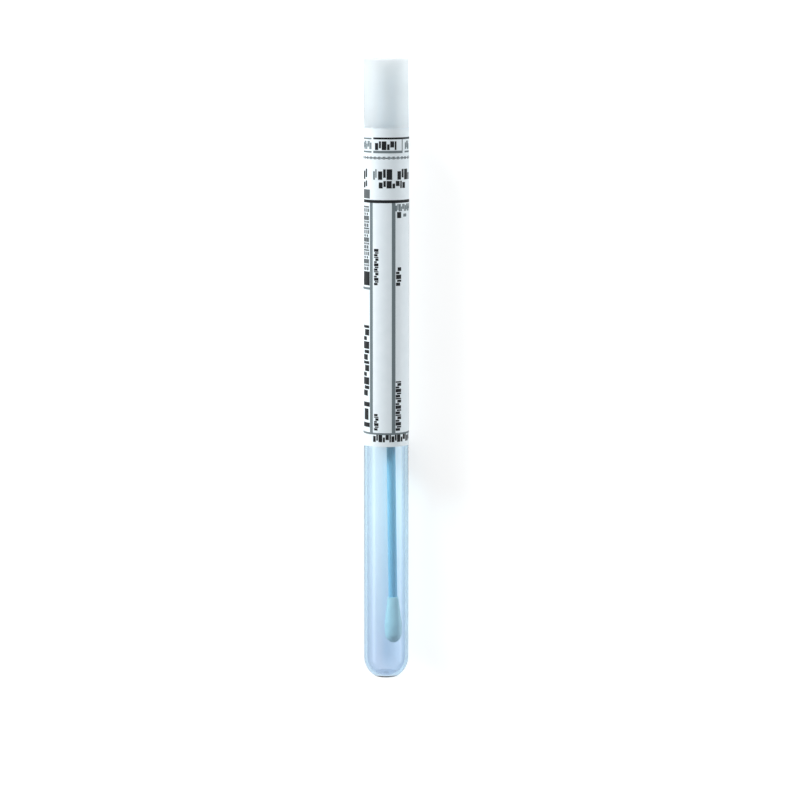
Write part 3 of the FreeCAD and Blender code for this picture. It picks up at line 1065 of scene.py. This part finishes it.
def marks_across(bm, low, high, left, right, size):
    """A line of print that runs round the tube."""
    for start, stop, foot, head in marks(left, right, size):
        block(bm, low + foot * (high - low), low + head * (high - low), start, stop)


def marks_along(bm, low, high, left, right, size):
    """A line of print that runs along the tube."""
    for start, stop, foot, head in marks(low, high, size):
        block(bm, start, stop, left + foot * (right - left), left + head * (right - left))


print(f"a row of 10 mm has {len(list(marks(0.0, 10.0, 1.0)))} marks")

# %% [markdown]
# ## What is printed on the label
#
# A grey frame divides the label into fields for writing, with two broad lines down the front, and
# a dim field holds three narrow columns. Each ink is a piece of its own, because a print shop also
# lays the inks on one after the other, and a piece then needs only one material.

# %% Print the label's frame and fields
LEFT_MARGIN, RIGHT_MARGIN = -19.6, 13.4
FRAME_LOW, FRAME_HIGH = 3.75, 65.1
BROAD_HALF = 0.5
THIN_HALF = 0.1
RULED_LINE = 0.2


def print_label_frame():
    bm = bmesh.new()
    block(bm, FRAME_LOW - 0.5, FRAME_LOW, LEFT_MARGIN, RIGHT_MARGIN)
    block(bm, 42.0, 42.6, LEFT_MARGIN, -4.31)
    for across in (-12.0, -4.31, 2.01, 9.4):
        block(bm, FRAME_LOW, FRAME_HIGH, across - BROAD_HALF, across + BROAD_HALF)
    for across in (LEFT_MARGIN, RIGHT_MARGIN):
        block(bm, FRAME_LOW, FRAME_HIGH, across - THIN_HALF, across + THIN_HALF)
    # the heading of the right field, and the small sign before the lot
    marks_across(bm, 62.9, 64.8, 2.5, 8.9, 0.5)
    block(bm, 61.4, 62.2, 5.1, 6.4)
    marks_across(bm, 71.25, 74.05, -3.7, -2.5, 0.6)
    # the ruled lines of the two outer fields
    for up in range(9, 42, 8):
        block(bm, up, up + RULED_LINE, -19.4, -12.5)
        block(bm, up, up + RULED_LINE, 9.9, 13.2)
    finish_print("label_frame_print", bm, LABEL_LOW, grey, "tube")


def print_label_fields():
    bm = bmesh.new()
    for left in (-8.1, -7.1, -6.1):
        marks_along(bm, 47.1, 64.6, left, left + 0.95, 0.9)
    block(bm, 66.2, 68.6, -8.0, -4.8)
    finish_print("label_fields_print", bm, LABEL_LOW, dim, "tube")


print_label_frame()
print_label_fields()

# %% [markdown]
# ### Small print and the stamped lot
#
# All that is black comes next: the small print that stands beside the broad lines, the signs in
# the left field, the frame's heavy upper line, and the lot, which is stamped in two rows between
# that line and the perforation. The stamp's marks are larger and stand further apart.

# %% Print the label's small print and the stamped lot
FIELD_LEFT, FIELD_RIGHT = -8.0, -4.9


def print_label_marks():
    bm = bmesh.new()
    # the line of print at the foot
    marks_across(bm, 1.3, 3.3, -3.7, 8.4, 0.8)
    # the left field: a sign of three blocks, and one large line of print
    block(bm, 5.1, 6.3, FIELD_LEFT, FIELD_RIGHT)
    block(bm, 7.0, 10.0, -7.4, -5.4)
    block(bm, 10.6, 11.8, FIELD_LEFT, FIELD_RIGHT)
    marks_along(bm, 13.5, 34.0, FIELD_LEFT, -5.1, 1.5)
    # the small print beside the broad lines, two rows at each
    marks_along(bm, 4.4, 9.3, -3.4, -2.1, 0.6)
    marks_along(bm, 43.3, 53.2, -3.4, -2.1, 0.6)
    marks_along(bm, 4.3, 17.8, 2.6, 4.3, 0.7)
    marks_along(bm, 43.1, 48.5, 2.7, 4.3, 0.9)
    # two more signs, and the frame's heavy upper line
    block(bm, 43.1, 46.8, FIELD_LEFT, FIELD_RIGHT)
    block(bm, 61.1, 62.7, 3.0, 4.3)
    block(bm, FRAME_HIGH, FRAME_HIGH + 0.8, FIELD_LEFT, RIGHT_MARGIN)
    # the stamped lot, in two rows
    for left, right, size in ((FIELD_LEFT, -4.4, 1.15), (-2.0, 6.2, 1.05)):
        marks_across(bm, 69.0, 70.95, left, right, size)
    for left, right in ((FIELD_LEFT, -5.3), (-2.2, 2.0), (3.1, 8.4)):
        marks_across(bm, 71.25, 74.05, left, right, 1.15)
    finish_print("label_marks_print", bm, LABEL_LOW, black, "tube")


print_label_marks()

# %% [markdown]
# ## The dotted line
#
# A dotted line shows where the sheet tears. Its dots sit half on the strip and half on the label,
# one at each tooth of the perforation, so their pitch is the teeth's pitch and not a number of its
# own. The label's halves are printed here and the strip's later, as two pieces, because they part
# when the tube is opened.

# %% Print the label's half of the dotted line
DOT_PITCH = STEPS_A_TOOTH * SHEET_TURN / SHEET_STEPS * MM_A_DEGREE
DOT_WIDTH = 0.66
DOT_HEIGHT = 0.32
FIRST_TOOTH = 0.625
FIRST_DOT = LAP_EDGE * MM_A_DEGREE - FIRST_TOOTH * DOT_PITCH
print(f"a dot every {DOT_PITCH:.2f} mm")


def dotted_line(bm, low, high):
    """One dot at each tooth, as far round as the sheet is printed."""
    for place in range(int(360 * MM_A_DEGREE / DOT_PITCH)):
        middle = FIRST_DOT - place * DOT_PITCH
        if LEFT_MARGIN < middle < RIGHT_MARGIN:
            block(bm, low, high, middle - DOT_WIDTH / 2, middle + DOT_WIDTH / 2)


def print_label_dots():
    bm = bmesh.new()
    edge = LABEL_HIGH - LABEL_LOW
    dotted_line(bm, edge - DOT_HEIGHT, edge)
    finish_print("label_dots_print", bm, LABEL_LOW, pale, "tube")


print_label_dots()

# %% [markdown]
# ## What is printed on the seal strip
#
# The strip says that the contents are sealed. Here that is a row of plain black marks in a frame,
# with smaller grey fields beside it, and the other half of the dotted line. It is made of the same
# blocks as the label's print, and only its places are new.

# %% Print the seal strip
def print_seal_frame():
    bm = bmesh.new()
    block(bm, 1.2, 1.85, -3.6, 4.8)
    block(bm, 1.85, 4.85, 4.5, 4.8)
    for left, right in ((-8.0, -4.2), (5.6, 8.1), (-16.0, -12.0)):
        block(bm, 1.3, 1.75, left, right)
        block(bm, 4.8, 5.2, left, right)
        marks_across(bm, 2.2, 4.4, left + 0.1, right, 0.5)
    finish_print("seal_frame_print", bm, STRIP_LOW, grey, "swab")


def print_seal_dots():
    bm = bmesh.new()
    dotted_line(bm, 0.0, DOT_HEIGHT)
    finish_print("seal_dots_print", bm, STRIP_LOW, pale, "swab")


def print_seal_marks():
    bm = bmesh.new()
    block(bm, 4.85, 5.35, -3.6, RIGHT_MARGIN)
    marks_across(bm, 2.05, 4.35, -3.1, 3.9, 0.95)
    finish_print("seal_marks_print", bm, STRIP_LOW, black, "swab")


print_seal_frame()
print_seal_dots()
print_seal_marks()

# %% [markdown]
# ## Brightness that only the eye sees
#
# A white background can be had by turning the lamps up, but then everything pale on the object
# clips to white. It is better to leave the lamps at a plain level, and to give the background some
# light of its own that the object doesn't receive. A Light Path node tells how a ray comes: from
# the camera, by a reflection, or through something clear. Rays that have already met a matt
# surface carry light, not sight, and get nothing. A ray through plastic counts as glossy as well,
# so its own level is added as the difference between the two.

# %% What the eye sees
def seen_by_eye(tree, straight, by_gloss, through):
    """One brightness for each way of looking, and none for light that falls on a piece."""
    rays = add(tree, "ShaderNodeLightPath").outputs
    level = add(
        tree,
        "ShaderNodeMath",
        {0: rays["Is Transmission Ray"], 1: through - by_gloss},
        operation="MULTIPLY",
    )
    level = add(
        tree,
        "ShaderNodeMath",
        {0: rays["Is Glossy Ray"], 1: by_gloss, 2: level.outputs[0]},
        operation="MULTIPLY_ADD",
    )
    look = add(tree, "ShaderNodeMath", {0: rays["Diffuse Depth"], 1: 0.5}, operation="LESS_THAN")
    level = add(
        tree, "ShaderNodeMath", {0: level.outputs[0], 1: look.outputs[0]}, operation="MULTIPLY"
    )
    return add(
        tree,
        "ShaderNodeMath",
        {0: rays["Is Camera Ray"], 1: straight, 2: level.outputs[0]},
        operation="MULTIPLY_ADD",
    ).outputs[0]


FLOOR_LIFT = 0.5
SKY_LIFT = 0.15
print(f"the eye sees the floor {FLOOR_LIFT} brighter than it is lit, and the sky {SKY_LIFT}")

# %% [markdown]
# ## The floor
#
# The tube lies on a plain board that is painted matt white. Lit at a plain level, a white board
# comes out light grey, so it gets the lift from the last step, which leaves the object's shadow in
# it. A plane is enough, far larger than the view. The paint is a little cloudy, in spots of 40 mm.

# %% Make the floor
FLOOR_HALF = 3.0
FLOOR_GAP = 0.02
PAINT_CLOUD = 40.0


def white_floor():
    """Matt white, with no shine that could mirror the tube."""
    material, tree = new_material("white_painted_board")
    place = add(tree, "ShaderNodeTexCoord").outputs["Object"]
    board = add(tree, "ShaderNodeTexNoise", {"Vector": place, "Scale": per_mm(PAINT_CLOUD)})
    colour = add(
        tree,
        "ShaderNodeMix",
        {0: board.outputs[0], 6: srgb("#f4f5f5"), 7: srgb("#f8f9f9")},
        data_type="RGBA",
    )
    paint = add(tree, "ShaderNodeBsdfDiffuse", {"Color": colour.outputs[2]})
    lift = seen_by_eye(tree, straight=FLOOR_LIFT, by_gloss=FLOOR_LIFT, through=FLOOR_LIFT)
    glow = add(tree, "ShaderNodeEmission", {"Color": srgb("#ffffff"), "Strength": lift})
    both = add(tree, "ShaderNodeAddShader", {0: paint.outputs[0], 1: glow.outputs[0]})
    add(tree, "ShaderNodeOutputMaterial", {"Surface": both.outputs[0]})
    return material


def make_floor():
    bm = bmesh.new()
    bmesh.ops.create_grid(bm, x_segments=1, y_segments=1, size=FLOOR_HALF)
    bmesh.ops.translate(bm, verts=bm.verts, vec=(0, 0, -FLOOR_GAP * MM))
    mesh = bpy.data.meshes.new("floor")
    bm.to_mesh(mesh)
    bm.free()
    mesh.materials.append(white_floor())
    floor = bpy.data.objects.new("floor", mesh)
    bpy.context.scene.collection.objects.link(floor)


make_floor()
print(f"the floor is {2 * FLOOR_HALF:.0f} m wide and lies {FLOOR_GAP} mm under the tube")

# %% [markdown]
# ## The sky
#
# Small ware is lit evenly from all round, as in a light tent. The world stands in for the tent's
# walls. It is brighter at the horizon than overhead, where a real tent is open for the camera, and
# that gives the round tube and cap their brighter sides.

# %% Make the sky
HORIZON, ZENITH = 0.85, 0.25


def even_sky():
    world = bpy.data.worlds.new("even_sky")
    world.use_nodes = True
    tree = world.node_tree
    tree.nodes.clear()
    way = add(tree, "ShaderNodeTexCoord").outputs["Generated"]
    up = add(tree, "ShaderNodeSeparateXYZ", {0: way}).outputs["Z"]
    light = add(tree, "ShaderNodeMapRange", {"Value": up, "To Min": HORIZON, "To Max": ZENITH})
    lift = seen_by_eye(tree, straight=SKY_LIFT, by_gloss=SKY_LIFT, through=SKY_LIFT)
    level = add(tree, "ShaderNodeMath", {0: lift, 1: light.outputs[0]}, operation="ADD")
    white = srgb("#ffffff")
    sky = add(tree, "ShaderNodeBackground", {"Color": white, "Strength": level.outputs[0]})
    add(tree, "ShaderNodeOutputWorld", {"Surface": sky.outputs[0]})
    bpy.context.scene.world = world


even_sky()
print(f"the sky goes from {HORIZON} at the horizon to {ZENITH} overhead")

# %% [markdown]
# ## The softboxes
#
# Softboxes stand at both sides, and none of them is above the tube. A strong key at the left and a
# weaker fill at the right stand towards the cap and light paper, cap and floor. In clear plastic a
# lamp also shows as a hard, slanting shape, so these two are hidden from reflections and from what
# is seen through the tube. Two weak softboxes beside the tube show there instead, as its long even
# highlights.

# %% Light the scene
LAMP_DISTANCE = 1.3


def softbox(name, bearing, pitch, width, length, watts):
    """A lamp at a bearing from the top towards +X, pitched towards the cap, aimed at the tube."""
    lamp = bpy.data.lights.new(name, "AREA")
    lamp.shape = "RECTANGLE"
    lamp.size = width
    lamp.size_y = length
    lamp.energy = watts
    box = bpy.data.objects.new(name, lamp)
    side, up = math.radians(bearing), math.radians(pitch)
    way = Vector((math.sin(side) * math.cos(up), math.sin(up), math.cos(side) * math.cos(up)))
    box.location = way * LAMP_DISTANCE
    box.rotation_euler = way.to_track_quat("Z", "Y").to_euler()
    bpy.context.scene.collection.objects.link(box)
    print(f"{name}: {watts} W at {bearing} degrees, {pitch} degrees towards the cap")
    return box


for lamp in (
    softbox("key_softbox", -68, 40, 0.5, 0.5, 15.0),
    softbox("fill_softbox", 80, 38, 0.5, 0.5, 5.8),
):
    lamp.visible_glossy = False
    lamp.visible_transmission = False
softbox("left_softbox", -69, -11, 0.7, 0.4, 0.9)
softbox("right_softbox", 84, -11, 0.6, 0.4, 1.0)

# %% [markdown]
# ## Camera
#
# The camera looks down on the tube from a little towards the cap, so that the cap's rounded edge
# shows and every line that goes round the tube bows a little. A long lens keeps the two ends of
# the tube nearly equally wide. The tube lies left of and above the middle of the frame, and the
# lens is shifted for that, because turning the camera would skew the tube.

# %% Set up the camera
def set_camera(tilt, distance):
    lens = bpy.data.cameras.new("camera")
    lens.lens = 134.4
    lens.sensor_width = 36.0
    lens.shift_x = 0.01725
    lens.shift_y = -0.0365
    camera = bpy.data.objects.new("camera", lens)
    turn = math.radians(tilt)
    camera.location = (
        0.0,
        distance * math.sin(turn),
        AXIS_HEIGHT + distance * math.cos(turn),
    )
    camera.rotation_euler = (-turn, 0.0, 0.0)
    bpy.context.scene.collection.objects.link(camera)
    bpy.context.scene.camera = camera
    print(f"camera {distance} m above the tube, {lens.lens:.0f} mm lens, tilted {tilt} degrees")


set_camera(tilt=7.2, distance=0.8)

# %% [markdown]
# ## View settings
#
# The Standard view transform shows colours as they are written.

# %% Set the view transform
bpy.context.scene.view_settings.view_transform = "Standard"
